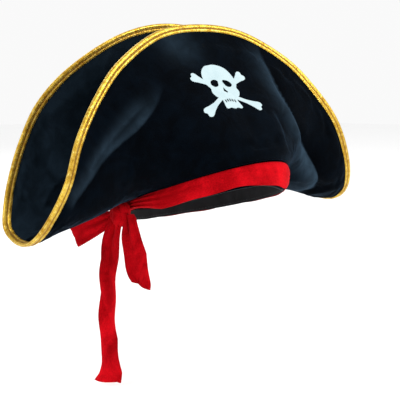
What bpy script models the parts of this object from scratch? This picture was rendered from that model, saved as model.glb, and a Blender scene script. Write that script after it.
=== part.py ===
"""Pirate hat: a velvet bicorne with a foam-cored brim, gold braid, a cap crown and a tied red headband.

Metres, +Z up as worn, front towards -Y, the wearer's left towards +X.
The origin is the centre of the head opening, at the headband's mean height.
"""

import bmesh
import bpy
import numpy as np
from mathutils import Vector
from mathutils.bvhtree import BVHTree

# Head opening: the oval where the brim leaves the headband, higher in front than behind.
HEAD_HALF_WIDTH = 0.082
HEAD_HALF_DEPTH = 0.099
ROOT_MID_HEIGHT = 0.003
ROOT_RISE = 0.034
ROOT_ARCH = 0.007

# Layers of the brim, from the outer face inwards.
FABRIC = 0.0008
FOAM = 0.0020
GAP = 0.0003
BRIM_THICKNESS = 2 * FABRIC + FOAM + 2 * GAP
SEAM_HALF_GAP = 0.0005

# Layers of the cap, all on ovals concentric with the opening.
CROWN_INSET = 0.0045
CROWN_WALL = 0.0010
LINING_WALL = 0.0006
SWEATBAND_WALL = 0.0008
HEADBAND_WALL = 0.0012
CROWN_TOP = (0.0, 0.018, 0.098)
CAP_SEAM_ANGLE = 0.003
# Rows of the cap: -1 is its bottom edge, 0 the root line and 1 the top of the head.
CAP_FOOT = (-1.0, -0.5, 0.0)
CAP_SIDE = (0.05, 0.16, 0.28, 0.40, 0.51, 0.62)
CAP_TIP = (0.628, 0.72, 0.82, 0.92, 1.0)

# Gold braid folded over the brim's edge.
BRAID_WALL = 0.0010
BRAID_GAP = 0.0009
BRAID_LEG = 0.0070
BRAID_END_LEG = 0.0030

# Ribbon ends and knot, on the wearer's right.
KNOT_CENTRE = (-0.0905, 0.0140, -0.0145)
KNOT_HALF = (0.0090, 0.0105, 0.0110)
RIBBON_ACROSS = (0.5, -0.8660254, 0.0)
RIBBON_WALL = 0.0016
LONG_TAIL_TOP = (-0.0950, 0.0185, -0.0265)
SHORT_TAIL_TOP = (-0.0905, -0.0010, -0.0200)
BOW_START = (-0.0945, 0.0262, -0.0200)
BOW_DIRECTION = (-0.42, 0.80, -0.42)
BOW_LENGTH = 0.046
BOW_HALF_GAP = 0.006
BOW_HALF_WIDTH = 0.013

# Emblem on the front.
EMBLEM_CENTRE = (-0.0065, -0.046, 0.1025)
EMBLEM_LEAN = 0.62
EMBLEM_FILM = 0.0004
BONE_TILT = 0.576

# The brim's edge, from the middle of the front, round one end and back to the middle of the rear.
RIM = (
    (0.000, 0.000, 0.169),
    (0.055, -0.003, 0.162),
    (0.107, -0.014, 0.136),
    (0.140, -0.024, 0.106),
    (0.168, -0.034, 0.069),
    (0.184, -0.038, 0.030),
    (0.198, -0.029, -0.004),
    (0.204, -0.011, -0.025),
    (0.203, 0.016, -0.032),
    (0.202, 0.042, -0.024),
    (0.199, 0.050, -0.006),
    (0.190, 0.057, 0.022),
    (0.173, 0.063, 0.059),
    (0.150, 0.066, 0.095),
    (0.115, 0.058, 0.130),
    (0.060, 0.052, 0.160),
    (0.000, 0.054, 0.170),
)
RIM_END = 8

# The side seam, along the bottom of the fold from the headband out to the end.
SIDE_SEAM = ((0.0835, 0.003, 0.002), (0.108, 0.007, -0.003), (0.145, 0.012, -0.015), (0.180, 0.015, -0.026))

# How each cross-section leaves the root and reaches the edge, from the middle (0) to the end (1):
# station, direction at the root, pull there, direction at the edge, pull there.
FRONT_FLOW = (
    (0.00, (0, 0.6, 0.8), 0.030, (0, 0.36, 0.94), 0.055),
    (0.28, (0.40, -0.45, 0.8), 0.035, (0.12, 0.36, 0.9), 0.060),
    (0.46, (0.72, -0.62, 0.32), 0.050, (0.14, 0.16, 0.95), 0.050),
    (0.60, (0.40, -0.92, -0.11), 0.050, (0.15, 0.10, 0.97), 0.045),
    (0.80, (0.10, -1, -0.02), 0.030, (0.35, -0.25, 0.85), 0.024),
    (0.93, (0.10, -1, 0.10), 0.012, (0.55, -0.65, 0.35), 0.010),
    (1.00, (0.5, -0.85, -0.1), 0.002, (0.7, -0.7, -0.15), 0.002),
)
REAR_FLOW = (
    (0.00, (0, 0.45, 0.9), 0.040, (0, -0.30, 0.95), 0.070),
    (0.28, (0.35, 0.3, 0.9), 0.040, (0.12, -0.25, 0.95), 0.060),
    (0.46, (0.72, 0.62, 0.32), 0.050, (0.14, -0.05, 0.98), 0.050),
    (0.60, (0.40, 0.92, -0.11), 0.046, (0.15, 0, 0.98), 0.045),
    (0.80, (0.10, 1, -0.02), 0.030, (0.35, 0.25, 0.85), 0.024),
    (0.93, (0.10, 1, 0.10), 0.012, (0.55, 0.65, 0.35), 0.010),
    (1.00, (0.5, 0.85, -0.1), 0.002, (0.7, 0.7, -0.15), 0.002),
)

# The part of the brim's edge that belongs to the side seams, and the last station that the panels reach.
SEAM_START = 0.56
BRIM_LAST_STATION = 0.985

# Mesh fineness.
BRIM_COLUMNS = 35
BRIM_ROWS = 6
RING_STATIONS = 40

BLACK_VELVET = ((0.008, 0.012, 0.018), 0.9, 0.0)
FOAM_GREY = ((0.30, 0.30, 0.31), 0.95, 0.0)
BLACK_LINING = ((0.012, 0.012, 0.014), 0.6, 0.0)
BLACK_TAPE = ((0.02, 0.02, 0.022), 0.8, 0.0)
GOLD_BRAID = ((0.78, 0.50, 0.09), 0.42, 0.7)
RED_VELVET = ((0.62, 0.006, 0.018), 0.75, 0.0)
WHITE_FILM = ((0.86, 0.92, 0.93), 0.45, 0.0)


def unit(vectors):
    vectors = np.asarray(vectors, float)
    return vectors / np.linalg.norm(vectors, axis=-1, keepdims=True)


def smooth_curve(points, steps=40):
    """Points along the smooth curve that passes through each of the given points."""
    points = np.asarray(points, float)
    padded = np.vstack([2 * points[0] - points[1], points, 2 * points[-1] - points[-2]])
    t = np.linspace(0, 1, steps, endpoint=False)[:, None]
    spans = []
    for a, b, c, d in zip(padded, padded[1:], padded[2:], padded[3:]):
        cubic = (3 * b - a - 3 * c + d) * t**3 + (2 * a - 5 * b + 4 * c - d) * t**2
        spans.append(0.5 * (2 * b + (c - a) * t + cubic))
    return np.vstack(spans + [points[-1:]])


def at_lengths(curve, fractions):
    """Points of a curve at the given fractions of its length."""
    along = np.append(0, np.cumsum(np.linalg.norm(np.diff(curve, axis=0), axis=1)))
    return np.stack([np.interp(fractions, along / along[-1], axis) for axis in curve.T], axis=-1)


def root_height(y):
    """Height of the line where the brim leaves the headband."""
    forward = -y / HEAD_HALF_DEPTH
    return ROOT_MID_HEIGHT + ROOT_RISE * forward + ROOT_ARCH * forward**2


def oval(angles, inset, drop=0.0):
    """Points on the opening's oval, moved inwards by inset; angle 0 is the front."""
    x = (HEAD_HALF_WIDTH - inset) * np.sin(angles)
    y = -(HEAD_HALF_DEPTH - inset) * np.cos(angles)
    return np.stack([x, y, root_height(y) - drop], axis=-1)


def half_rim(front):
    steps = 40
    mirrored = [[-1, 1, 1]]
    rim = np.array(RIM)
    curve = smooth_curve(np.vstack([rim[1] * mirrored, rim, rim[-2] * mirrored]), steps)[steps:-steps]
    return curve[: RIM_END * steps + 1] if front else curve[: RIM_END * steps - 1 : -1]


def half_root(front):
    steps = 40
    if front:
        angles = np.radians(np.linspace(0, 86, 9))
    else:
        angles = np.radians(np.linspace(180, 94, 9))
    points = np.vstack([oval(angles, 0), SIDE_SEAM, RIM[RIM_END]])
    return smooth_curve(np.vstack([points[1] * [[-1, 1, 1]], points]), steps)[steps:]


def eased(flow, stations):
    """The flow table's values at the given stations, by cubic easing between its rows."""
    keys = np.array([row[0] for row in flow])
    table = np.array([(*row[1], row[2], *row[3], row[4]) for row in flow])
    slopes = np.gradient(table, keys, axis=0)
    i = np.clip(np.searchsorted(keys, stations, side="right") - 1, 0, len(keys) - 2)
    step = (keys[i + 1] - keys[i])[:, None]
    t = ((stations - keys[i]) / (keys[i + 1] - keys[i]))[:, None]
    start = (2 * t**3 - 3 * t**2 + 1) * table[i] + (t**3 - 2 * t**2 + t) * step * slopes[i]
    return start + (3 * t**2 - 2 * t**3) * table[i + 1] + (t**3 - t**2) * step * slopes[i + 1]


def brim_points(front, stations, rows):
    """Outer face of one brim panel: stations run from -1 to 1 across it, rows from root (0) to edge (1)."""
    across = np.abs(stations)
    root = at_lengths(half_root(front), across)
    edge = at_lengths(half_rim(front), across)
    flow = eased(FRONT_FLOW if front else REAR_FLOW, across)
    near_root = root + unit(flow[:, :3]) * flow[:, 3:4]
    near_edge = edge - unit(flow[:, 4:7]) * flow[:, 7:8]
    v = np.broadcast_to(rows, (len(stations), np.shape(rows)[-1]))[..., None]
    points = (1 - v) ** 3 * root[:, None] + 3 * (1 - v) ** 2 * v * near_root[:, None]
    points += 3 * (1 - v) * v**2 * near_edge[:, None] + v**3 * edge[:, None]
    points[..., 0] *= np.where(stations < 0, -1, 1)[:, None]
    return points


def brim_normals(front, stations, rows):
    """Directions through the brim at the outer face, pointing out of the hat."""
    nudge = 0.004
    ahead = np.clip(stations + nudge, -1, 1)
    behind = np.clip(stations - nudge, -1, 1)
    along = brim_points(front, ahead, rows) - brim_points(front, behind, rows)
    up = brim_points(front, stations, np.clip(rows + nudge, 0, 1))
    up -= brim_points(front, stations, np.clip(rows - nudge, 0, 1))
    normals = unit(np.cross(along, up)) * (1 if front else -1)
    # Beside a side seam they straighten, so that both panels stay on their own side of it.
    points = brim_points(front, stations, rows)
    seam = brim_points(front, stations, np.zeros(1))
    room = 0.8 * np.abs(points - seam)[..., 1] / BRIM_THICKNESS
    beside_seam = (np.abs(stations) > SEAM_START)[:, None]
    normals[..., 1] = np.where(beside_seam, np.clip(normals[..., 1], -room, room), normals[..., 1])
    on_seam = room == 0
    normals[on_seam] = unit(normals[on_seam])
    return normals


def brim_grid(front):
    """Stations closer together at the ends, and rows of which the last strip lies under the braid."""
    t = np.linspace(-1, 1, BRIM_COLUMNS)
    stations = BRIM_LAST_STATION * np.sign(t) * (1 - (1 - np.abs(t)) ** 1.5)
    pull = eased(FRONT_FLOW if front else REAR_FLOW, np.abs(stations))[:, 7]
    last = 1 - np.minimum(1.2 * BRAID_LEG / (3 * pull), 0.3)
    rows = np.linspace(0, 1, BRIM_ROWS)[None, :] * last[:, None]
    return stations, np.hstack([rows, np.ones((len(t), 1))])


def collection(name):
    group = bpy.data.collections.new(name)
    bpy.context.scene.collection.children.link(group)
    return group


def material(name, look):
    colour, roughness, metallic = look
    made = bpy.data.materials.new(name)
    made.use_nodes = True
    shader = made.node_tree.nodes["Principled BSDF"]
    shader.inputs["Base Color"].default_value = (*colour, 1)
    shader.inputs["Roughness"].default_value = roughness
    shader.inputs["Metallic"].default_value = metallic
    made.diffuse_color = (*colour, 1)
    return made


def add_object(name, shape, look, smooth_angle=50):
    """Makes an object of a bmesh, with its own material, and frees the bmesh."""
    bmesh.ops.recalc_face_normals(shape, faces=shape.faces)
    if shape.calc_volume(signed=True) < 0:
        bmesh.ops.reverse_faces(shape, faces=shape.faces)
    mesh = bpy.data.meshes.new(name)
    shape.to_mesh(mesh)
    shape.free()
    mesh.materials.append(material(name, look))
    mesh.shade_smooth()
    mesh.set_sharp_from_angle(angle=np.radians(smooth_angle))
    obj = bpy.data.objects.new(name, mesh)
    parts.objects.link(obj)
    return obj


def add_grid(shape, points, wrap=False):
    """Adds a quad grid to the bmesh and returns its vertices, row by row."""
    verts = [[shape.verts.new(point) for point in row] for row in points]
    rows = verts + verts[:1] if wrap else verts
    for row, following in zip(rows, rows[1:]):
        for a, b, c, d in zip(row, row[1:], following[1:], following):
            shape.faces.new((a, b, c))
            shape.faces.new((a, c, d))
    return verts


def layer(name, outer, inner, look, wrap=False):
    """A closed skin between two matching grids, with walls along their free borders."""
    shape = bmesh.new()
    top = add_grid(shape, outer, wrap)
    bottom = add_grid(shape, inner, wrap)
    borders = [([row[0] for row in top], [row[0] for row in bottom])]
    borders.append(([row[-1] for row in top], [row[-1] for row in bottom]))
    if wrap:
        borders = [(a + a[:1], b + b[:1]) for a, b in borders]
    else:
        borders += [(top[0], bottom[0]), (top[-1], bottom[-1])]
    for a, b in borders:
        for a0, a1, b1, b0 in zip(a, a[1:], b[1:], b):
            shape.faces.new((a0, a1, b1, b0))
    bmesh.ops.remove_doubles(shape, verts=shape.verts, dist=1e-6)
    return add_object(name, shape, look)


def brim_face(front, depth):
    """The brim panel's grid at a depth under its outer face, kept to its own side of the side seams."""
    stations, rows = brim_grid(front)
    points = brim_points(front, stations, rows) - brim_normals(front, stations, rows) * depth
    points[..., 1] += -SEAM_HALF_GAP if front else SEAM_HALF_GAP
    return points


def make_brim(front):
    side = "front" if front else "rear"
    depths = {
        "shell": (0, FABRIC, BLACK_VELVET),
        "foam": (FABRIC + GAP, FABRIC + GAP + FOAM, FOAM_GREY),
        "facing": (BRIM_THICKNESS - FABRIC, BRIM_THICKNESS, BLACK_VELVET),
    }
    for part, (start, end, look) in depths.items():
        layer(f"{side}_brim_{part}", brim_face(front, start), brim_face(front, end), look)


def fold(outer, inner, tangent):
    """One section of a strip folded over an edge, from its leg outside to its leg inside and back."""
    (outer_leg, outer_edge), (inner_leg, inner_edge) = outer, inner
    middle_way = unit(outer_edge - outer_leg) + unit(inner_edge - inner_leg)
    outward = unit(middle_way - tangent * np.dot(middle_way, tangent))
    wall = unit(outer_edge - inner_edge) * BRAID_WALL
    near = outward * BRAID_GAP
    far = outward * (BRAID_GAP + BRAID_WALL)
    return np.array(
        [
            outer_leg + wall,
            outer_edge + wall,
            outer_edge + far,
            inner_edge + far,
            inner_edge - wall,
            inner_leg - wall,
            inner_leg,
            inner_edge + near,
            outer_edge + near,
            outer_leg,
        ]
    )


def braid_sections(front):
    outer = brim_face(front, -BRAID_GAP)[:, -2:]
    inner = brim_face(front, BRIM_THICKNESS + BRAID_GAP)[:, -2:]
    tangents = unit(np.gradient(outer[:, 1], axis=0))
    return [fold(*section) for section in zip(outer, inner, tangents)]


def braid_end():
    """The section at the brim's end, where the fold turns from the front edge to the rear edge."""
    tip = np.array(RIM[RIM_END])
    outward = unit(tip - SIDE_SEAM[-1])
    down = unit(np.cross(outward, (0, 1, 0)))
    outer = tip + down * BRAID_GAP
    inner = tip - down * (BRIM_THICKNESS + BRAID_GAP)
    leg = outward * BRAID_END_LEG
    return fold((outer - leg, outer), (inner - leg, inner), np.array((0, 1, 0)))


def make_braid():
    """A strip folded over the brim's edge, in one loop round both panels."""
    end = braid_end()
    front_sections = braid_sections(True)
    loops = front_sections + [end] + braid_sections(False)[::-1] + [end * [-1, 1, 1]]
    shape = bmesh.new()
    verts = [[shape.verts.new(point) for point in loop] for loop in loops]
    for i, (loop, following) in enumerate(zip(verts, verts[1:] + verts[:1])):
        on_front = i <= len(front_sections)
        for k, (a, b, c, d) in enumerate(zip(loop, loop[1:] + loop[:1], following[1:] + following[:1], following)):
            # The sides of the legs that run from edge to leg split the other way, as the brim under them does.
            if (k in (4, 8)) == on_front:
                a, b, c, d = b, c, d, a
            shape.faces.new((a, b, c))
            shape.faces.new((a, c, d))
    add_object("gold_braid", shape, GOLD_BRAID)


def ring_angles():
    """Stations round the head, in two halves that leave the cap's front and back seams between them."""
    half = np.linspace(CAP_SEAM_ANGLE, np.pi - CAP_SEAM_ANGLE, RING_STATIONS // 2)
    return np.append(half, half + np.pi)


def band_height(angles):
    """Height of the red headband round the head: tall in front, pulled narrow at the knot."""
    keys = np.radians([-180, -140, -108, -92, -70, -40, 0, 25, 60, 100, 140, 180])
    heights = np.array([20, 16, 11, 12, 19, 22, 24, 28, 24, 20, 19, 20]) / 1000
    wrapped = (np.asarray(angles) + np.pi) % (2 * np.pi) - np.pi
    return np.interp(wrapped, keys, heights)


def cap_points(angles, levels, inset):
    """Points of the cap's surface at the given rows, on a cap smaller by inset all round."""
    root = oval(angles, CROWN_INSET + inset)
    foot = root.copy()
    foot[:, 2] -= band_height(angles)
    top = np.array(CROWN_TOP) - [0, 0, inset]
    backward = (1 - np.cos(angles))[:, None] / 2
    rise = 0.007 + 0.038 * backward
    lean = 0.07 - 0.04 * backward
    above_root = root + rise * [[0, 0, 1]] + lean * (top - root) * [[1, 1, 0]]
    spread = 0.40 + 0.15 * backward
    beside_top = top + spread * (root - top) * [[1, 1, 0]]
    columns = []
    for level in levels:
        if level < 0:
            columns.append(root + (root - foot) * level)
            continue
        v = level
        point = (1 - v) ** 3 * root + 3 * (1 - v) ** 2 * v * above_root
        columns.append(point + 3 * (1 - v) * v**2 * beside_top + v**3 * top)
    return np.stack(columns, axis=1)


def make_cap(name, look, inset, wall, levels):
    """Two side panels with seams at the front and back, and a tip that closes the top."""
    angles = ring_angles()
    middle = len(angles) // 2
    for side, half in (("left", angles[:middle]), ("right", angles[middle:])):
        layer(f"{name}_side_{side}", cap_points(half, levels, inset), cap_points(half, levels, inset + wall), look)
    shape = bmesh.new()
    top = add_grid(shape, cap_points(angles, CAP_TIP, inset), wrap=True)
    under = add_grid(shape, cap_points(angles, CAP_TIP, inset + wall), wrap=True)
    rim_top = [row[0] for row in top + top[:1]]
    rim_under = [row[0] for row in under + under[:1]]
    for a0, a1, b1, b0 in zip(rim_top, rim_top[1:], rim_under[1:], rim_under):
        shape.faces.new((a0, a1, b1, b0))
    bmesh.ops.remove_doubles(shape, verts=shape.verts, dist=1e-6)
    add_object(f"{name}_tip", shape, look)


def make_sweatband():
    inset = CROWN_WALL + GAP
    angles = ring_angles()
    outer = cap_points(angles, CAP_FOOT, inset)
    layer("sweatband", outer, cap_points(angles, CAP_FOOT, inset + SWEATBAND_WALL), BLACK_TAPE, wrap=True)


def make_headband():
    """A velvet band round the cap's foot, its top tucked under the brim."""
    angles = ring_angles()
    tucked = CROWN_INSET - GAP - HEADBAND_WALL
    top_drop = 0.0008 + 0.0030 * np.clip(np.cos(angles), 0, 1)
    height = band_height(angles) - top_drop
    rows = []
    for t in (0, 0.35, 0.7, 1):
        inset = tucked - 0.0010 * np.sin(np.pi * t)
        drop = top_drop + height * t
        rows.append((oval(angles, inset, drop), oval(angles, inset + HEADBAND_WALL, drop)))
    outer, inner = (np.stack(face, axis=1) for face in zip(*rows))
    layer("headband", outer, inner, RED_VELVET, wrap=True)


def make_knot():
    shape = bmesh.new()
    bmesh.ops.create_uvsphere(shape, u_segments=16, v_segments=10, radius=1)
    for vert in shape.verts:
        pinch = 1 - 0.12 * np.cos(3 * np.arctan2(vert.co.y, vert.co.z))
        vert.co = Vector(np.array(vert.co) * KNOT_HALF * (1, pinch, pinch) + KNOT_CENTRE)
    add_object("knot", shape, RED_VELVET)


def ribbon(name, rows, ripple, top):
    """A hanging ribbon: rows of (height, shift along its width, width), with a soft ripple across.

    Its origin lies on the line that it swings about, at its gathered top.
    """
    across = np.array(RIBBON_ACROSS)
    facing = np.cross([0, 0, 1], across)
    rows = smooth_curve(rows, 4)
    span = np.linspace(-0.5, 0.5, 7)
    columns = []
    for height, shift, width in rows:
        wave = ripple * np.cos(2 * np.pi * span + 14 * height)
        columns.append(across * (shift + width * span[:, None]) + facing * wave[:, None] + [0, 0, height])
    points = np.array(columns)
    points -= facing * np.mean(points @ facing)
    shape = bmesh.new()
    add_grid(shape, points)
    obj = add_object(name, shape, RED_VELVET)
    obj.location = top
    wall = obj.modifiers.new("wall", "SOLIDIFY")
    wall.thickness = RIBBON_WALL
    wall.offset = 0
    wall.use_even_offset = False


def make_tails():
    long_rows = (
        (-0.0015, 0.000, 0.017),
        (-0.030, -0.004, 0.021),
        (-0.062, -0.008, 0.0195),
        (-0.095, -0.0088, 0.0205),
        (-0.135, -0.006, 0.0200),
        (-0.152, -0.008, 0.0245),
        (-0.163, -0.012, 0.0300),
    )
    ribbon("long_tail", long_rows, 0.0012, LONG_TAIL_TOP)
    short_rows = (
        (-0.0015, 0.000, 0.012),
        (-0.020, 0.002, 0.0165),
        (-0.042, 0.008, 0.0180),
        (-0.062, 0.013, 0.0190),
    )
    ribbon("short_tail", short_rows, 0.0010, SHORT_TAIL_TOP)


def make_bow_loop():
    """A ribbon folded back on itself: a flattened closed path, swept across the ribbon's width."""
    along = unit(BOW_DIRECTION)
    width_way = unit(np.cross(along, np.cross([0, 0, 1], along)))
    opening = np.cross(along, width_way)
    path = []
    for t in np.linspace(0, np.pi, 17):
        reach = BOW_LENGTH * np.sin(t) ** 0.7
        swell = BOW_HALF_GAP * np.cos(t) * (0.25 + 0.75 * np.sin(t))
        path.append((reach, swell))
    path = np.array(path)
    half = BOW_HALF_WIDTH * (0.45 + 0.55 * np.clip(path[:, 0] / BOW_LENGTH, 0, 1) ** 0.6)
    points = []
    for (reach, swell), w in zip(path, half):
        row = [along * reach + opening * swell + width_way * w * s for s in (-1, -0.33, 0.33, 1)]
        points.append(row)
    shape = bmesh.new()
    add_grid(shape, np.array(points))
    obj = add_object("bow_loop", shape, RED_VELVET)
    obj.location = BOW_START
    wall = obj.modifiers.new("wall", "SOLIDIFY")
    wall.thickness = RIBBON_WALL
    wall.offset = 0


def ring(centre, half_sizes, sides):
    angles = np.linspace(0, 2 * np.pi, sides, endpoint=False)
    return np.array(centre) + np.stack([np.cos(angles), np.sin(angles)], axis=1) * half_sizes


def flat_plate(name, outline):
    """A 2D curve filled on both sides, given a thickness and made a closed mesh."""
    curve = bpy.data.curves.new(name, "CURVE")
    curve.dimensions = "2D"
    curve.fill_mode = "BOTH"
    curve.extrude = 0.01
    spline = curve.splines.new("POLY")
    spline.points.add(len(outline) - 1)
    for point, (x, y) in zip(spline.points, outline):
        point.co = (x, y, 0, 1)
    spline.use_cyclic_u = True
    source = bpy.data.objects.new(name, curve)
    cutters.objects.link(source)
    bpy.context.view_layer.update()
    evaluated = source.evaluated_get(bpy.context.evaluated_depsgraph_get())
    mesh = bpy.data.meshes.new_from_object(evaluated)
    bpy.data.objects.remove(source)
    shape = bmesh.new()
    shape.from_mesh(mesh)
    bmesh.ops.remove_doubles(shape, verts=shape.verts, dist=1e-6)
    shape.to_mesh(mesh)
    shape.free()
    plate = bpy.data.objects.new(name, mesh)
    cutters.objects.link(plate)
    plate.hide_render = True
    plate.display_type = "WIRE"
    return plate


def emblem_plates():
    """Plates of a plain skull over two crossed bones: those that join, and those that cut."""
    skull = ring((0, 0.0160), (0.0210, 0.0185), 18)
    jaw = [(-0.0150, 0.0060), (-0.0112, -0.0165), (0.0112, -0.0165), (0.0150, 0.0060)]
    plates = [("skull", skull, "UNION"), ("jaw", jaw, "UNION")]
    reach, half, knob = 0.0335, 0.0024, 0.0040
    for bone, slope in (("bone_a", BONE_TILT), ("bone_b", -BONE_TILT)):
        turn = np.array([[np.cos(slope), np.sin(slope)], [-np.sin(slope), np.cos(slope)]])
        shaft = np.array([(-reach, -half), (reach, -half), (reach, half), (-reach, half)])
        plates.append((bone, shaft @ turn, "UNION"))
        for end in (-1, 1):
            for side in (-1, 1):
                centre = np.array([end * reach, side * knob * 0.8]) @ turn
                plates.append((f"{bone}_knob_{end}_{side}", ring(centre, knob, 10), "UNION"))
    for side in (-1, 1):
        plates.append((f"eye_{side}", ring((side * 0.0080, 0.0110), (0.0048, 0.0040), 8), "DIFFERENCE"))
    plates.append(("nose", [(-0.0024, 0.0020), (0.0024, 0.0020), (0.0, 0.0066)], "DIFFERENCE"))
    return plates


def make_emblem():
    """The joined outline, cut into small facets and laid on the front panel's outer face."""
    plates = [(flat_plate(f"emblem_{name}", outline), way) for name, outline, way in emblem_plates()]
    body = plates[0][0]
    for plate, way in plates[1:]:
        step = body.modifiers.new(plate.name, "BOOLEAN")
        step.operation = way
        step.object = plate
    bpy.context.view_layer.update()
    evaluated = body.evaluated_get(bpy.context.evaluated_depsgraph_get())
    joined = bpy.data.meshes.new_from_object(evaluated)
    shape = bmesh.new()
    shape.from_mesh(joined)
    section = bmesh.ops.bisect_plane(
        shape,
        geom=shape.verts[:] + shape.edges[:] + shape.faces[:],
        plane_co=(0, 0, 0.001),
        plane_no=(0, 0, 1),
        clear_inner=True,
        clear_outer=True,
    )
    edges = [item for item in section["geom_cut"] if isinstance(item, bmesh.types.BMEdge)]
    bmesh.ops.triangle_fill(shape, edges=edges, use_beauty=True, use_dissolve=False, normal=(0, 0, 1))
    for axis in (Vector((1, 0, 0)), Vector((0, 1, 0))):
        for offset in np.arange(-0.0317, 0.0321, 0.0041):
            bmesh.ops.bisect_plane(
                shape,
                geom=shape.verts[:] + shape.edges[:] + shape.faces[:],
                plane_co=axis * float(offset),
                plane_no=axis,
            )
    bmesh.ops.remove_doubles(shape, verts=shape.verts, dist=2e-5)
    bmesh.ops.triangulate(shape, faces=shape.faces)
    face = bmesh.new()
    add_grid(face, brim_face(True, 0))
    tree = BVHTree.FromBMesh(face)
    face.free()
    across = Vector((1, 0, 0))
    out = Vector((0, -np.cos(EMBLEM_LEAN), np.sin(EMBLEM_LEAN)))
    upward = out.cross(across)
    for vert in shape.verts:
        start = Vector(EMBLEM_CENTRE) + across * vert.co.x + upward * vert.co.y + out * 0.05
        hit = tree.ray_cast(start, -out)[0]
        vert.co = hit + out * 2 * GAP
    obj = add_object("skull_emblem", shape, WHITE_FILM)
    film = obj.modifiers.new("film", "SOLIDIFY")
    film.thickness = EMBLEM_FILM
    film.offset = 1
    film.use_even_offset = False
    for plate, _ in plates:
        bpy.data.objects.remove(plate)


for leftover in list(bpy.data.objects):
    bpy.data.objects.remove(leftover)
parts = collection("pirate_hat")
cutters = collection("cutters")
make_brim(front=True)
make_brim(front=False)
make_braid()
make_cap("crown", BLACK_VELVET, 0.0, CROWN_WALL, CAP_FOOT + CAP_SIDE)
make_cap("lining", BLACK_LINING, CROWN_WALL + GAP, LINING_WALL, CAP_SIDE)
make_sweatband()
make_headband()
make_knot()
make_tails()
make_bow_loop()
make_emblem()
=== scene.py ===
"""Looks of the velvet pirate hat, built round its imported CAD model.

Metres, +Z up as worn, front towards -Y, the wearer's left towards +X.
"""

import math

import bmesh
import bpy
import numpy as np
from mathutils import Matrix, Vector, geometry, noise
from mathutils.bvhtree import BVHTree


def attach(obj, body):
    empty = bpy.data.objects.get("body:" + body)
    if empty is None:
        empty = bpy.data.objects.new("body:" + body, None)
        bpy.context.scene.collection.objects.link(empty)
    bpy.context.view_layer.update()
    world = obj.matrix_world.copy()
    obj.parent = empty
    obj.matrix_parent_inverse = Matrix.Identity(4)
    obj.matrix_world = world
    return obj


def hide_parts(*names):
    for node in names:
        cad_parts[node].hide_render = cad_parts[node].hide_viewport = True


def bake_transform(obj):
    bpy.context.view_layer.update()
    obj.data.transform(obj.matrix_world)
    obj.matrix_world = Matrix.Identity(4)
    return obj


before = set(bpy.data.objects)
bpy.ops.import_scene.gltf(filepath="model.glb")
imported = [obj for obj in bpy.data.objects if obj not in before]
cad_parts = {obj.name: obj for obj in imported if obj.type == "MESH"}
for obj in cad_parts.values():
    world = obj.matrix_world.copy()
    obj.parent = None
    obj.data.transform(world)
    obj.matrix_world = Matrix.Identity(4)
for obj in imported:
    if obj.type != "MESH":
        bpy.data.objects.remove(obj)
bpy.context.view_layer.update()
for startup in ("Cube", "Light", "Camera"):
    if startup in bpy.data.objects:
        bpy.data.objects.remove(bpy.data.objects[startup])

# Camera: a little above the hat, 40 degrees round from its front towards the knot.
CAMERA_TARGET = Vector((0.0, 0.0, -0.009))
CAMERA_BEARING = math.radians(-40.0)
CAMERA_HEIGHT = math.radians(9.7)
CAMERA_DISTANCE = 1.0
CAMERA_LENS = 87.3

# The hat's own dimensions, the same as in its CAD model.
HEAD_HALF_WIDTH = 0.082
HEAD_HALF_DEPTH = 0.099
ROOT_MID_HEIGHT = 0.003
ROOT_RISE = 0.034
ROOT_ARCH = 0.007
BRIM_THICKNESS = 0.0042
CROWN_INSET = 0.0045
CROWN_WALL = 0.0010
CROWN_TOP = (0.0, 0.018, 0.098)
SEAM_START = 0.56
KNOT_CENTRE = np.array((-0.0905, 0.0140, -0.0145))
KNOT_HALF = np.array((0.0090, 0.0105, 0.0110))
LONG_TAIL_TOP = np.array((-0.0950, 0.0185, -0.0265))
SHORT_TAIL_TOP = np.array((-0.0905, -0.0010, -0.0200))
BOW_START = np.array((-0.0945, 0.0262, -0.0200))
BOW_DIRECTION = (-0.42, 0.80, -0.42)
BOW_LENGTH = 0.046
RIBBON_ACROSS = np.array((0.5, -0.8660254, 0.0))

RIM = (
    (0.000, 0.000, 0.169),
    (0.055, -0.003, 0.162),
    (0.107, -0.014, 0.136),
    (0.140, -0.024, 0.106),
    (0.168, -0.034, 0.069),
    (0.184, -0.038, 0.030),
    (0.198, -0.029, -0.004),
    (0.204, -0.011, -0.025),
    (0.203, 0.016, -0.032),
    (0.202, 0.042, -0.024),
    (0.199, 0.050, -0.006),
    (0.190, 0.057, 0.022),
    (0.173, 0.063, 0.059),
    (0.150, 0.066, 0.095),
    (0.115, 0.058, 0.130),
    (0.060, 0.052, 0.160),
    (0.000, 0.054, 0.170),
)
RIM_END = 8
SIDE_SEAM = ((0.0835, 0.003, 0.002), (0.108, 0.007, -0.003), (0.145, 0.012, -0.015), (0.180, 0.015, -0.026))
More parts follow.
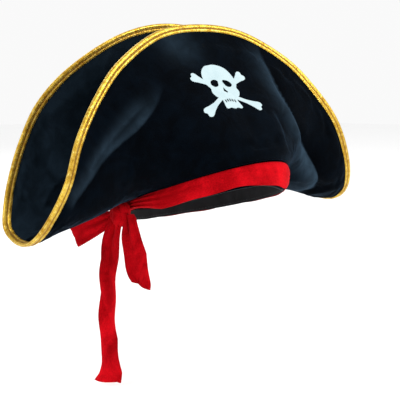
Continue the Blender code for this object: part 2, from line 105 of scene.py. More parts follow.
# Station, direction at the root, pull there, direction at the edge, pull there.
FRONT_FLOW = (
    (0.00, (0, 0.6, 0.8), 0.030, (0, 0.36, 0.94), 0.055),
    (0.28, (0.40, -0.45, 0.8), 0.035, (0.12, 0.36, 0.9), 0.060),
    (0.46, (0.72, -0.62, 0.32), 0.050, (0.14, 0.16, 0.95), 0.050),
    (0.60, (0.40, -0.92, -0.11), 0.050, (0.15, 0.10, 0.97), 0.045),
    (0.80, (0.10, -1, -0.02), 0.030, (0.35, -0.25, 0.85), 0.024),
    (0.93, (0.10, -1, 0.10), 0.012, (0.55, -0.65, 0.35), 0.010),
    (1.00, (0.5, -0.85, -0.1), 0.002, (0.7, -0.7, -0.15), 0.002),
)
REAR_FLOW = (
    (0.00, (0, 0.45, 0.9), 0.040, (0, -0.30, 0.95), 0.070),
    (0.28, (0.35, 0.3, 0.9), 0.040, (0.12, -0.25, 0.95), 0.060),
    (0.46, (0.72, 0.62, 0.32), 0.050, (0.14, -0.05, 0.98), 0.050),
    (0.60, (0.40, 0.92, -0.11), 0.046, (0.15, 0, 0.98), 0.045),
    (0.80, (0.10, 1, -0.02), 0.030, (0.35, 0.25, 0.85), 0.024),
    (0.93, (0.10, 1, 0.10), 0.012, (0.55, 0.65, 0.35), 0.010),
    (1.00, (0.5, 0.85, -0.1), 0.002, (0.7, 0.7, -0.15), 0.002),
)

# Folds of the brims, as (x, z) paths from top to bottom. Right and left are as seen from the front.
RIGHT_VALLEY = ((0.071, 0.160), (0.073, 0.140), (0.078, 0.114), (0.086, 0.088), (0.100, 0.063),
                (0.122, 0.038), (0.143, 0.010), (0.155, -0.008), (0.168, -0.022))
LEFT_VALLEY = ((-0.070, 0.118), (-0.084, 0.096), (-0.098, 0.080), (-0.117, 0.064), (-0.137, 0.049),
               (-0.153, 0.034), (-0.168, 0.018), (-0.179, 0.004))
LEFT_BRANCH = ((-0.089, 0.099), (-0.104, 0.090), (-0.123, 0.073), (-0.146, 0.050), (-0.160, 0.036))
BAND_END_FOLD = ((0.058, 0.092), (0.052, 0.075), (0.045, 0.060), (0.036, 0.050))
TOP_FOLD = ((-0.030, 0.160), (-0.038, 0.146), (-0.052, 0.130))
REAR_VALLEY = ((0.066, 0.150), (0.070, 0.110), (0.086, 0.070), (0.112, 0.040),
               (0.146, 0.010), (0.166, -0.012))

# Grid of each brim as simulated, how much finer it is when folded, and its last station before the tip.
CLOTH_COLUMNS = 101
CLOTH_ROWS = 31
FINER = 2
LAST_STATION = 0.985
EDGE_THICKNESS = 0.0014

FLOOR_HEIGHT = -0.197
FLOOR_RADIUS = 3


# ---------------------------------------------------------------- camera and studio


def place_camera():
    back = Vector(
        (
            math.sin(CAMERA_BEARING) * math.cos(CAMERA_HEIGHT),
            -math.cos(CAMERA_BEARING) * math.cos(CAMERA_HEIGHT),
            math.sin(CAMERA_HEIGHT),
        )
    )
    right = Vector((math.cos(CAMERA_BEARING), math.sin(CAMERA_BEARING), 0))
    turn = Matrix((right, back.cross(right), back)).transposed().to_4x4()
    data = bpy.data.cameras.new("camera")
    data.lens = CAMERA_LENS
    data.sensor_width = 36
    camera = bpy.data.objects.new("camera", data)
    bpy.context.scene.collection.objects.link(camera)
    camera.matrix_world = Matrix.Translation(CAMERA_TARGET + back * CAMERA_DISTANCE) @ turn
    bpy.context.scene.camera = camera


def soft_light(name, place, aim, size, power, colour):
    data = bpy.data.lights.new(name, "AREA")
    data.shape = "DISK"
    data.size = size
    data.energy = power
    data.color = colour
    light = bpy.data.objects.new(name, data)
    bpy.context.scene.collection.objects.link(light)
    light.location = place
    light.rotation_euler = (Vector(aim) - Vector(place)).to_track_quat("-Z", "Y").to_euler()


def make_studio():
    bpy.context.scene.view_settings.view_transform = "Standard"
    world = bpy.data.worlds.new("studio")
    bpy.context.scene.world = world
    world.use_nodes = True
    background = world.node_tree.nodes["Background"]
    background.inputs["Color"].default_value = (1, 1, 1, 1)
    background.inputs["Strength"].default_value = 0.95
    soft_light("key", (0.9, -1.2, 0.9), (0, 0, 0.05), 0.7, 21, (1, 0.985, 0.96))
    soft_light("left_fill", (-1.5, -0.3, 0.8), (0, 0, 0.05), 0.7, 9, (0.93, 0.97, 1))
    soft_light("back_fill", (0.3, 1.4, 1.0), (0, 0, 0.05), 0.9, 6, (1, 1, 1))
    mesh = bpy.data.meshes.new("floor")
    turns = np.linspace(0, 2 * np.pi, 64, endpoint=False)
    ring = [(FLOOR_RADIUS * math.cos(a), FLOOR_RADIUS * math.sin(a), FLOOR_HEIGHT) for a in turns]
    mesh.from_pydata(ring, [], [tuple(range(len(ring)))])
    floor = bpy.data.objects.new("floor", mesh)
    bpy.context.scene.collection.objects.link(floor)
    paint = bpy.data.materials.new("floor_paper")
    paint.use_nodes = True
    shader = paint.node_tree.nodes["Principled BSDF"]
    shader.inputs["Base Color"].default_value = (0.93, 0.93, 0.93, 1)
    shader.inputs["Roughness"].default_value = 0.9
    mesh.materials.append(paint)


# ---------------------------------------------------------------- materials


class Graph:
    """A material's node tree, with short ways to add and join nodes."""

    def __init__(self, name):
        self.material = bpy.data.materials.new(name)
        self.material.use_nodes = True
        self.tree = self.material.node_tree
        self.shader = self.tree.nodes["Principled BSDF"]

    def add(self, kind, settings=None, **inputs):
        made = self.tree.nodes.new("ShaderNode" + kind)
        for key, value in (settings or {}).items():
            setattr(made, key, value)
        for key, value in inputs.items():
            socket = made.inputs[key.replace("_", " ")]
            if isinstance(value, bpy.types.NodeSocket):
                self.tree.links.new(value, socket)
            else:
                socket.default_value = value
        return made

    def noise(self, where, scale, detail=2.0, roughness=0.5, distortion=0.0):
        made = self.add("TexNoise", None, Vector=where, Scale=scale, Detail=detail, Roughness=roughness)
        made.inputs["Distortion"].default_value = distortion
        return made.outputs["Fac"]

    def ramp(self, value, low, high, to_low=0.0, to_high=1.0):
        made = self.add("MapRange", None, Value=value)
        for key, number in (("From Min", low), ("From Max", high), ("To Min", to_low), ("To Max", to_high)):
            made.inputs[key].default_value = number
        return made.outputs["Result"]

    def mix(self, factor, a, b):
        made = self.add("Mix", {"data_type": "RGBA", "clamp_factor": True})
        for index, value in ((0, factor), (6, a), (7, b)):
            if isinstance(value, bpy.types.NodeSocket):
                self.tree.links.new(value, made.inputs[index])
            else:
                made.inputs[index].default_value = value
        return made.outputs[2]

    def maths(self, operation, a, b=0.5):
        made = self.add("Math", {"operation": operation})
        for index, value in ((0, a), (1, b)):
            if isinstance(value, bpy.types.NodeSocket):
                self.tree.links.new(value, made.inputs[index])
            else:
                made.inputs[index].default_value = value
        return made.outputs[0]

    def bump(self, height, strength, distance, under=None):
        made = self.add("Bump", None, Height=height, Strength=strength, Distance=distance)
        if under is not None:
            self.tree.links.new(under, made.inputs["Normal"])
        return made.outputs["Normal"]

    def finish(self, colour, normal, roughness, **numbers):
        for socket, value in (("Base Color", colour), ("Normal", normal), ("Roughness", roughness)):
            if isinstance(value, bpy.types.NodeSocket):
                self.tree.links.new(value, self.shader.inputs[socket])
            else:
                self.shader.inputs[socket].default_value = value
        for key, value in numbers.items():
            self.shader.inputs[key.replace("_", " ")].default_value = value
        return self.material


def velvet(name, deep, pale, painted_sheen_colour, tint, sheen, mottle=0.5):
    """Cut pile: soft clouds where it was brushed, crushed patches and fine tufts, with painted sheen and
    painted shade mixed in from the 'pile' attribute.
    """
    graph = Graph(name)
    where = graph.add("TexCoord").outputs["Object"]
    # The 'pile' attribute holds painted light: above 0 a painted sheen highlight, below 0 painted shade.
    pile = graph.add("Attribute", {"attribute_name": "pile"}).outputs["Fac"]
    clouds = graph.ramp(graph.noise(where, 13, 4, 0.6, 1.5), 0.38, 0.66)
    brushed = graph.ramp(graph.noise(where, 55, 3, 0.55, 0.8), 0.40, 0.70)
    tufts = graph.noise(where, 1300, 2, 0.6)
    shade = graph.maths("MULTIPLY", clouds, 0.45)
    shade = graph.maths("ADD", shade, graph.maths("MULTIPLY", brushed, mottle))
    shade = graph.maths("ADD", shade, graph.ramp(tufts, 0.3, 0.7, -0.22, 0.22))
    colour = graph.mix(shade, (*deep, 1), (*pale, 1))
    # Painted sheen highlight: mixes towards the painted sheen colour where the pile attribute is above 0.
    turned = graph.maths("MULTIPLY", pile, graph.ramp(brushed, 0.0, 1.0, 0.65, 1.1))
    colour = graph.mix(turned, colour, (*painted_sheen_colour, 1))
    # Painted shade: mixes towards the deep colour where the pile attribute is below 0.
    colour = graph.mix(graph.maths("MULTIPLY", pile, -0.9), colour, (*deep, 1))
    normal = graph.bump(brushed, 0.35, 0.0012)
    normal = graph.bump(tufts, 0.55, 0.0005, normal)
    return graph.finish(
        colour,
        normal,
        0.9,
        Sheen_Weight=sheen,
        Sheen_Roughness=0.26,
        Sheen_Tint=(*tint, 1),
        Specular_IOR_Level=0.03,
    )


BRAID_GROOVES = (0.0069, 0.0161)


def braid_gold():
    """Metallic tape: slanting threads crossed by a fine rib, with painted shade in the gaps between
    threads, painted reflection patches, and a dark sewn line along each groove that is partly painted
    shade.
    """
    graph = Graph("gold_braid_tape")
    strip = graph.add("Attribute", {"attribute_name": "strip"}).outputs["Vector"]
    where = graph.add("TexCoord").outputs["Object"]
    weave = graph.add("TexBrick", {"offset": 0.5}, Vector=strip, Scale=1.0)
    weave.inputs["Brick Width"].default_value = 0.0017
    weave.inputs["Row Height"].default_value = 0.00075
    weave.inputs["Mortar Size"].default_value = 0.00012
    weave.inputs["Mortar Smooth"].default_value = 0.8
    gaps = weave.outputs["Fac"]
    worn = graph.ramp(graph.noise(where, 60, 3), 0.35, 0.65)
    glints = graph.noise(where, 900, 1)
    # One noise drives both the painted reflection patches and a bump.
    painted_reflections_and_bump = graph.noise(where, 330, 2, 0.6)
    base = graph.mix(worn, (0.56, 0.325, 0.024, 1), (0.82, 0.55, 0.062, 1))
    # Painted reflections: bright yellow patches and dark brown patches in the gold.
    base = graph.mix(graph.ramp(painted_reflections_and_bump, 0.50, 0.72, 0, 0.75), base, (1.0, 0.80, 0.22, 1))
    base = graph.mix(graph.ramp(painted_reflections_and_bump, 0.46, 0.28, 0, 0.70), base, (0.34, 0.14, 0.008, 1))
    # A dark sewn line along each groove that is also painted shade in the groove.
    across = graph.add("SeparateXYZ", None, Vector=strip).outputs["Y"]
    sides = [graph.maths("ABSOLUTE", graph.maths("SUBTRACT", across, y)) for y in BRAID_GROOVES]
    groove_line_and_shade = graph.ramp(graph.maths("MINIMUM", *sides), 0.0010, 0.0003, 0, 0.8)
    base = graph.mix(groove_line_and_shade, base, (0.26, 0.105, 0.010, 1))
    # Painted shade in the gaps between threads.
    colour = graph.mix(graph.maths("MULTIPLY", gaps, 0.75), base, (0.22, 0.09, 0.008, 1))
    height = graph.maths("SUBTRACT", 1.0, gaps)
    normal = graph.bump(painted_reflections_and_bump, 0.6, 0.0006)
    normal = graph.bump(height, 0.7, 0.0003, normal)
    normal = graph.bump(glints, 0.25, 0.0003, normal)
    return graph.finish(colour, normal, graph.ramp(glints, 0.3, 0.7, 0.28, 0.45), Metallic=0.85)


def cloth(name, dark, light, thread, roughness=0.75, sheen=0.15):
    """Plain woven cloth with threads a given width apart, for tape, lining and sewing thread."""
    graph = Graph(name)
    where = graph.add("TexCoord").outputs["Object"]
    wave = []
    for axis in ("X", "Y", "Z"):
        settings = {"bands_direction": axis}
        bands = graph.add("TexWave", settings, Vector=where, Scale=0.314 / thread, Distortion=0.6)
        wave.append(bands.outputs["Fac"])
    weave = graph.maths("MULTIPLY", graph.maths("ADD", wave[0], wave[1]), wave[2])
    uneven = graph.ramp(graph.noise(where, 80, 3), 0.3, 0.7)
    colour = graph.mix(uneven, (*dark, 1), (*light, 1))
    normal = graph.bump(weave, 0.4, thread * 0.4)
    return graph.finish(
        colour, normal, roughness, Sheen_Weight=sheen, Sheen_Roughness=0.5, Specular_IOR_Level=0.2
    )


def film_white():
    """A pressed film: faint pile showing through and a slight yellowing."""
    graph = Graph("emblem_film")
    where = graph.add("TexCoord").outputs["Object"]
    pile = graph.noise(where, 700, 2)
    age = graph.ramp(graph.noise(where, 70, 4), 0.35, 0.7)
    colour = graph.mix(age, (0.395, 0.515, 0.545, 1), (0.45, 0.560, 0.585, 1))
    normal = graph.bump(pile, 0.3, 0.0003)
    return graph.finish(colour, normal, graph.ramp(pile, 0.3, 0.7, 0.42, 0.58), Specular_IOR_Level=0.4)


def sponge():
    """Open-cell foam sheet."""
    graph = Graph("sponge_sheet")
    where = graph.add("TexCoord").outputs["Object"]
    cells = graph.add("TexVoronoi", None, Vector=where, Scale=900.0).outputs["Distance"]
    colour = graph.mix(graph.ramp(cells, 0.1, 0.7), (0.16, 0.16, 0.17, 1), (0.34, 0.34, 0.35, 1))
    return graph.finish(colour, graph.bump(cells, 0.6, 0.0005), 0.95)


# ---------------------------------------------------------------- the hat's surfaces


def unit(vectors):
    vectors = np.asarray(vectors, float)
    return vectors / np.linalg.norm(vectors, axis=-1, keepdims=True)


def smooth_step(low, high, values):
    t = np.clip((np.asarray(values, float) - low) / (high - low), 0, 1)
    return t * t * (3 - 2 * t)


def smooth_curve(points, steps=40):
    points = np.asarray(points, float)
    padded = np.vstack([2 * points[0] - points[1], points, 2 * points[-1] - points[-2]])
    t = np.linspace(0, 1, steps, endpoint=False)[:, None]
    spans = []
    for a, b, c, d in zip(padded, padded[1:], padded[2:], padded[3:]):
        cubic = (3 * b - a - 3 * c + d) * t**3 + (2 * a - 5 * b + 4 * c - d) * t**2
        spans.append(0.5 * (2 * b + (c - a) * t + cubic))
    return np.vstack(spans + [points[-1:]])


def at_lengths(curve, fractions):
    along = np.append(0, np.cumsum(np.linalg.norm(np.diff(curve, axis=0), axis=1)))
    return np.stack([np.interp(fractions, along / along[-1], axis) for axis in curve.T], axis=-1)


def root_height(y):
    forward = -y / HEAD_HALF_DEPTH
    return ROOT_MID_HEIGHT + ROOT_RISE * forward + ROOT_ARCH * forward**2


def oval(angles, inset, drop=0.0):
    x = (HEAD_HALF_WIDTH - inset) * np.sin(angles)
    y = -(HEAD_HALF_DEPTH - inset) * np.cos(angles)
    return np.stack([x, y, root_height(y) - drop], axis=-1)


def half_rim(front):
    steps = 40
    mirrored = [[-1, 1, 1]]
    rim = np.array(RIM)
    curve = smooth_curve(np.vstack([rim[1] * mirrored, rim, rim[-2] * mirrored]), steps)[steps:-steps]
    return curve[: RIM_END * steps + 1] if front else curve[: RIM_END * steps - 1 : -1]


def half_root(front):
    steps = 40
    angles = np.radians(np.linspace(0, 86, 9) if front else np.linspace(180, 94, 9))
    points = np.vstack([oval(angles, 0), SIDE_SEAM, RIM[RIM_END]])
    return smooth_curve(np.vstack([points[1] * [[-1, 1, 1]], points]), steps)[steps:]


def eased(flow, stations):
    keys = np.array([row[0] for row in flow])
    table = np.array([(*row[1], row[2], *row[3], row[4]) for row in flow])
    slopes = np.gradient(table, keys, axis=0)
    i = np.clip(np.searchsorted(keys, stations, side="right") - 1, 0, len(keys) - 2)
    step = (keys[i + 1] - keys[i])[:, None]
    t = ((stations - keys[i]) / (keys[i + 1] - keys[i]))[:, None]
    start = (2 * t**3 - 3 * t**2 + 1) * table[i] + (t**3 - 2 * t**2 + t) * step * slopes[i]
    return start + (3 * t**2 - 2 * t**3) * table[i + 1] + (t**3 - t**2) * step * slopes[i + 1]


def brim_points(front, stations, rows):
    across = np.abs(stations)
    root = at_lengths(half_root(front), across)
    edge = at_lengths(half_rim(front), across)
    flow = eased(FRONT_FLOW if front else REAR_FLOW, across)
    near_root = root + unit(flow[:, :3]) * flow[:, 3:4]
    near_edge = edge - unit(flow[:, 4:7]) * flow[:, 7:8]
    v = np.broadcast_to(rows, (len(stations), np.shape(rows)[-1]))[..., None]
    points = (1 - v) ** 3 * root[:, None] + 3 * (1 - v) ** 2 * v * near_root[:, None]
    points += 3 * (1 - v) * v**2 * near_edge[:, None] + v**3 * edge[:, None]
    points[..., 0] *= np.where(stations < 0, -1, 1)[:, None]
    return points


def brim_normals(front, stations, rows):
    nudge = 0.004
    ahead = np.clip(stations + nudge, -1, 1)
    behind = np.clip(stations - nudge, -1, 1)
    along = brim_points(front, ahead, rows) - brim_points(front, behind, rows)
    up = brim_points(front, stations, np.clip(rows + nudge, 0, 1))
    up -= brim_points(front, stations, np.clip(rows - nudge, 0, 1))
    normals = unit(np.cross(along, up)) * (1 if front else -1)
    points = brim_points(front, stations, rows)
    seam = brim_points(front, stations, np.zeros(1))
    room = 0.8 * np.abs(points - seam)[..., 1] / BRIM_THICKNESS
    beside_seam = (np.abs(stations) > SEAM_START)[:, None]
    normals[..., 1] = np.where(beside_seam, np.clip(normals[..., 1], -room, room), normals[..., 1])
    on_seam = room == 0
    normals[on_seam] = unit(normals[on_seam])
    return normals


def band_height(angles):
    keys = np.radians([-180, -140, -108, -92, -70, -40, 0, 25, 60, 100, 140, 180])
    heights = np.array([20, 16, 11, 12, 19, 22, 24, 28, 24, 20, 19, 20]) / 1000
    wrapped = (np.asarray(angles) + np.pi) % (2 * np.pi) - np.pi
    return np.interp(wrapped, keys, heights)


def cap_points(angles, levels, inset):
    root = oval(angles, CROWN_INSET + inset)
    foot = root.copy()
    foot[:, 2] -= band_height(angles)
    top = np.array(CROWN_TOP) - [0, 0, inset]
    backward = (1 - np.cos(angles))[:, None] / 2
    rise = 0.007 + 0.038 * backward
    lean = 0.07 - 0.04 * backward
    above_root = root + rise * [[0, 0, 1]] + lean * (top - root) * [[1, 1, 0]]
    spread = 0.40 + 0.15 * backward
    beside_top = top + spread * (root - top) * [[1, 1, 0]]
    columns = []
    for level in levels:
        if level < 0:
            columns.append(root + (root - foot) * level)
            continue
        v = level
        point = (1 - v) ** 3 * root + 3 * (1 - v) ** 2 * v * above_root
        columns.append(point + 3 * (1 - v) * v**2 * beside_top + v**3 * top)
    return np.stack(columns, axis=1)


# ---------------------------------------------------------------- mesh helpers


def link(name, mesh, material, body="hat", stands_for=(), smooth_angle=60, bend=None):
    mesh.materials.append(material)
    mesh.shade_smooth()
    mesh.set_sharp_from_angle(angle=math.radians(smooth_angle))
    obj = bpy.data.objects.new(name, mesh)
    bpy.context.scene.collection.objects.link(obj)
    if bend is None:
        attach(obj, body)
    else:
        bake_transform(obj)
    if stands_for:
        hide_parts(*stands_for)
    return obj


def closed_mesh(name, shape):
    """Turns a bmesh's faces outwards and makes it a mesh."""
    bmesh.ops.remove_doubles(shape, verts=shape.verts, dist=1e-6)
    bmesh.ops.recalc_face_normals(shape, faces=shape.faces)
    if shape.calc_volume(signed=True) < 0:
        bmesh.ops.reverse_faces(shape, faces=shape.faces)
    mesh = bpy.data.meshes.new(name)
    shape.to_mesh(mesh)
    shape.free()
    return mesh


def bridge(shape, a, b, closed=False):
    """Faces between two rows of vertices, except where they would have fewer than four corners."""
    if closed:
        a, b = a + a[:1], b + b[:1]
    for a0, a1, b1, b0 in zip(a, a[1:], b[1:], b):
        if len({a0, a1, b1, b0}) == 4:
            shape.faces.new((a0, a1, b1, b0))


def add_grid(shape, points, wrap=False):
    verts = [[shape.verts.new(point) for point in row] for row in points]
    rows = verts + verts[:1] if wrap else verts
    for row, following in zip(rows, rows[1:]):
        bridge(shape, row, following)
    return verts


def skin(name, outer, inner, wrap=False):
    """A closed layer of cloth between two matching grids."""
    shape = bmesh.new()
    top = add_grid(shape, outer, wrap)
    bottom = add_grid(shape, inner, wrap)
    for end in (0, -1):
        bridge(shape, [row[end] for row in top], [row[end] for row in bottom], wrap)
    if not wrap:
        bridge(shape, top[0], bottom[0])
        bridge(shape, top[-1], bottom[-1])
    return closed_mesh(name, shape)


def tube(loops, closed=True):
    """A bmesh swept through section loops; open tubes get flat caps."""
    shape = bmesh.new()
    verts = [[shape.verts.new(point) for point in loop] for loop in loops]
    following = verts[1:] + (verts[:1] if closed else [])
    for loop, nxt in zip(verts, following):
        bridge(shape, loop, nxt, closed=True)
    if not closed:
        shape.faces.new(verts[0][::-1])
        shape.faces.new(verts[-1])
    return shape


def grid_normals(points, wrap=False):
    """Unit normals of a grid surface, by differences along and across it."""
    if wrap:
        along = np.roll(points, -1, axis=0) - np.roll(points, 1, axis=0)
    else:
        along = np.gradient(points, axis=0)
    across = np.gradient(points, axis=1)
    return unit(np.cross(along, across) + 1e-15)


def from_path(points, path):
    """Signed distance of (x, z) points from a path, positive on its right, and how far along it."""
    curve = smooth_curve([(x, z, 0) for x, z in path], 8)[:, :2]
    start, step = curve[:-1], np.diff(curve, axis=0)
    apart = points[..., None, :] - start
    t = np.clip(np.sum(apart * step, axis=-1) / np.sum(step * step, axis=-1), 0, 1)
    offset = apart - t[..., None] * step
    distance = np.linalg.norm(offset, axis=-1)
    nearest = distance.argmin(axis=-1)
    pick = nearest[..., None]
    side = np.sign(offset[..., 1] * step[:, 0] - offset[..., 0] * step[:, 1])
    signed = np.take_along_axis(distance * side, pick, axis=-1)[..., 0]
    along = (nearest + np.take_along_axis(t, pick, axis=-1)[..., 0]) / len(step)
    return signed, along


def valley(points, path, depth, width, shoulder, fade=(0.12, 0.85)):
    """A crease with a sharp bottom and a soft shoulder on its left, fading at both ends of its path."""
    distance, along = from_path(points, path)
    strength = smooth_step(0, fade[0], along) * (1 - smooth_step(fade[1], 1, along))
    strength = np.where((along <= 0) | (along >= 1), 0, strength)
    crease = np.exp(-np.abs(distance) / width)
    hump = np.exp(-(((distance + 1.9 * width) / (1.1 * width)) ** 2))
    return depth * strength * (shoulder * hump - crease)


def uneven(points, scale, amount, seed):
    """A smooth seeded ripple for each point of a grid."""
    flat = points.reshape(-1, 3) / scale + seed
    values = np.array([noise.noise(Vector(p)) for p in flat])
    return amount * values.reshape(points.shape[:-1])


# ---------------------------------------------------------------- brim


def held_rows(points, rows):
    """Nothing stands out along the root or under the braid."""
    reach = np.linalg.norm(points - points[:, -1:], axis=-1)
    return smooth_step(0.0, 0.10, rows)[None, :] * smooth_step(0.0085, 0.0180, reach)


def relief(front, points, rows):
    """Slow unevenness of the padded panel, before its cloth is swollen."""
    lift = uneven(points, 0.040, 0.0011, 7.3 if front else 21.7)
    return lift * held_rows(points, rows)


def folds(front, points, rows):
    """How far the panel's folds stand out from or sink into its swollen shape."""
    flat = points[..., [0, 2]]
    if front:
        lift = valley(flat, RIGHT_VALLEY, 0.0070, 0.0085, 0.40, (0.35, 0.95))
        lift += valley(flat, LEFT_VALLEY, 0.0048, 0.0090, 0.40, (0.30, 0.90))
        lift += valley(flat, LEFT_BRANCH, 0.0020, 0.0060, 0.25)
        lift += valley(flat, BAND_END_FOLD, 0.0022, 0.0070, 0.30, (0.3, 0.8))
        lift += valley(flat, TOP_FOLD, 0.0018, 0.0080, 0.35)
    else:
        lift = valley(flat, REAR_VALLEY, 0.0050, 0.0100, 0.35, (0.3, 0.90))
        lift += valley(flat * [-1, 1], REAR_VALLEY, 0.0050, 0.0100, 0.35, (0.3, 0.90))
    lift += uneven(points, 0.014, 0.0004, 3.1 if front else 11.9)
    return lift * held_rows(points, rows)


def panel_rows(count):
    t = np.linspace(0, 1, count)
    return t + 0.035 * np.sin(2 * np.pi * t)


def panel_stations(count):
    t = np.linspace(-1, 1, count)
    return LAST_STATION * np.sign(t) * (1 - (1 - np.abs(t)) ** 1.25)


def refined(grid):
    """The grid with evenly placed points added between its own, on a smooth curve through them."""
    for _ in range(2):
        count = len(grid)
        ends = np.concatenate([2 * grid[:1] - grid[1:2], grid, 2 * grid[-1:] - grid[-2:-1]])
        halfway = (9 * (ends[1:-2] + ends[2:-1]) - ends[:-3] - ends[3:]) / 16
        finer = np.empty((FINER * count - 1,) + grid.shape[1:])
        finer[::FINER] = grid
        finer[1::FINER] = halfway
        grid = finer.swapaxes(0, 1)
    return grid


# How far the simulation may move a point: along the cloth, into the pad, and out on each face.
SLIDE_CAP = 0.0010
SINK_CAP = 0.0006
OUTER_PUFF_CAP = 0.0022
INNER_PUFF_CAP = 0.0012
PUFF_STEPS = 20
HELD_AT_ROOT = 2
HELD_AT_EDGE = 4
HELD_AT_TIP = 3
HOLD_ELSEWHERE = 0.02


def puffed(outer, inner):
    """Lets air pressure and loose cloth swell the panel, held along its edge and its root."""
    shape = bmesh.new()
    top = add_grid(shape, outer)
    bottom = add_grid(shape, inner)
    for end in (0, -1):
        bridge(shape, top[end], bottom[end])
    for end in (0, -1):
        bridge(shape, [row[end] for row in top], [row[end] for row in bottom])
    bmesh.ops.recalc_face_normals(shape, faces=shape.faces)
    mesh = bpy.data.meshes.new("pad")
    shape.to_mesh(mesh)
    shape.free()
    pad = bpy.data.objects.new("pad", mesh)
    bpy.context.scene.collection.objects.link(pad)
    columns, rows = outer.shape[:2]
    held = pad.vertex_groups.new(name="held")
    row_of = np.tile(np.arange(rows), columns * 2)
    column_of = np.tile(np.repeat(np.arange(columns), rows), 2)
    fixed = (row_of < HELD_AT_ROOT) | (row_of >= rows - HELD_AT_EDGE)
    fixed |= (column_of < HELD_AT_TIP) | (column_of >= columns - HELD_AT_TIP)
    held.add([int(i) for i in np.nonzero(fixed)[0]], 1.0, "REPLACE")
    held.add([int(i) for i in np.nonzero(~fixed)[0]], HOLD_ELSEWHERE, "REPLACE")
    cloth_sim = pad.modifiers.new("cloth", "CLOTH")
    settings = cloth_sim.settings
    settings.quality = 4
    settings.mass = 0.25
    settings.tension_stiffness = 12
    settings.compression_stiffness = 8
    settings.bending_stiffness = 0.6
    settings.vertex_group_mass = "held"
    settings.use_pressure = True
    settings.uniform_pressure_force = 4.0
    settings.shrink_min = -0.018
    settings.effector_weights.gravity = 0
    cloth_sim.point_cache.frame_start = 1
    cloth_sim.point_cache.frame_end = PUFF_STEPS
    for step in range(1, PUFF_STEPS + 1):
        bpy.context.scene.frame_set(step)
    evaluated = pad.evaluated_get(bpy.context.evaluated_depsgraph_get())
    moved = np.array([v.co for v in evaluated.data.vertices], float).reshape(2, columns, rows, 3)
    bpy.data.objects.remove(pad)
    bpy.context.scene.frame_set(1)
    normals = unit(outer - inner)
    faces = []
    sides = ((outer, moved[0], normals, OUTER_PUFF_CAP), (inner, moved[1], -normals, INNER_PUFF_CAP))
    for start, end, way, cap in sides:
        shift = end - start
        swell = np.sum(shift * way, axis=-1, keepdims=True)
        slide = shift - way * swell
        length = np.linalg.norm(slide, axis=-1, keepdims=True)
        slide *= np.minimum(1, SLIDE_CAP / np.maximum(length, 1e-9))
        faces.append(start + slide + way * np.clip(swell, -SINK_CAP, cap))
    return faces


def panel_layers(front, stations, rows):
    """The even panel's outer and inner faces and its normals."""
    points = brim_points(front, stations, rows)
    normals = brim_normals(front, stations, rows)
    reach = np.linalg.norm(points - points[:, -1:], axis=-1, keepdims=True)
    pressed = 1 - smooth_step(0.0090, 0.0200, reach)
    half = (BRIM_THICKNESS * (1 - pressed) + EDGE_THICKNESS * pressed) / 2
    middle = points - normals * BRIM_THICKNESS / 2
    return middle + normals * half, middle - normals * half, points, normals


def brim_faces(front):
    """The panel's outer and inner faces, swollen and then folded."""
    stations, rows = panel_stations(CLOTH_COLUMNS), panel_rows(CLOTH_ROWS)
    outer, inner, points, normals = panel_layers(front, stations, rows)
    lift = normals * relief(front, points, rows)[..., None]
    swollen = [outer + lift, inner + lift]
    swollen = puffed(*swollen)
    shifts = [refined(swollen[0] - outer), refined(swollen[1] - inner)]
    stations = panel_stations(FINER * CLOTH_COLUMNS - 1)
    rows = panel_rows(FINER * CLOTH_ROWS - 1)
    outer, inner, points, normals = panel_layers(front, stations, rows)
    lift = normals * folds(front, points, rows)[..., None]
    apart = np.array((0, -0.0001 if front else 0.0001, 0))
    return outer + shifts[0] + lift + apart, inner + shifts[1] + lift + apart


def painted_sheen_and_shade(front, points):
    """Painted light on the velvet: a painted sheen highlight up to a fold's line, painted shade beyond it,
    a painted highlight at the crest, and an even painted lightening of the rear panel.
    """
    flat = points[..., [0, 2]]
    pile = np.zeros(points.shape[:-1])
    # The rear panel gets an even painted lightening on both of its faces.
    if not front:
        return pile + 0.30
    # Folds that get painted sheen and painted shade: path, width of the painted band, amount.
    turned = ((RIGHT_VALLEY, 0.016, 1.0), (LEFT_VALLEY, 0.008, 0.60), (LEFT_BRANCH, 0.006, 0.3))
    for path, width, amount in turned:
        distance, along = from_path(flat, path)
        ends = smooth_step(0, 0.35, along) * (1 - smooth_step(0.85, 1, along)) * (along > 0) * (along < 1)
        # Painted shade beyond the fold's line, painted sheen highlight before it.
        beyond = smooth_step(-0.001, 0.003, distance)
        pale = smooth_step(-2.8 * width, 0, distance) ** 1.5
        deep = np.exp(-np.abs(distance) / width)
        pile += amount * ends * (pale * (1 - beyond) - 0.7 * deep * beyond)
    # A painted highlight near the top of the front panel.
    painted_crest_highlight = np.exp(-(((flat[..., 0] + 0.036) / 0.020) ** 2 + ((flat[..., 1] - 0.150) / 0.016) ** 2))
    return pile + 0.45 * painted_crest_highlight


def make_brim(front, faces):
    side = "front" if front else "rear"
    outer, inner = faces
    through = inner - outer
    cloth_part, foam_part = 0.19, 0.21
    pieces = (
        ("velvet", "shell", outer, outer + through * cloth_part, BLACK_VELVET, "black_velvet"),
        ("sponge", "foam", outer + through * foam_part, inner - through * foam_part, SPONGE, "foam"),
        ("facing_cloth", "facing", inner, inner - through * cloth_part, BLACK_VELVET, "black_velvet"),
    )
    for word, node, near, far, material, slot in pieces:
        name = f"{side}_brim_{word}"
        mesh = skin(name, near, far)
        # Both velvet layers carry painted sheen and painted shade as the 'pile' attribute.
        if word != "sponge":
            layer = mesh.attributes.new("pile", "FLOAT", "POINT")
            pile = painted_sheen_and_shade(front, near).ravel()
            layer.data.foreach_set("value", np.tile(pile, 2).astype(np.float32))
        obj = link(name, mesh, material, stands_for=[f"{side}_brim_{node}"])



# ---------------------------------------------------------------- braid

BRAID_LEG = 0.0070
BRAID_SAMPLES = 330
GROOVE_DEPTH = 0.0035
TURNED_UNDER = 0.0009


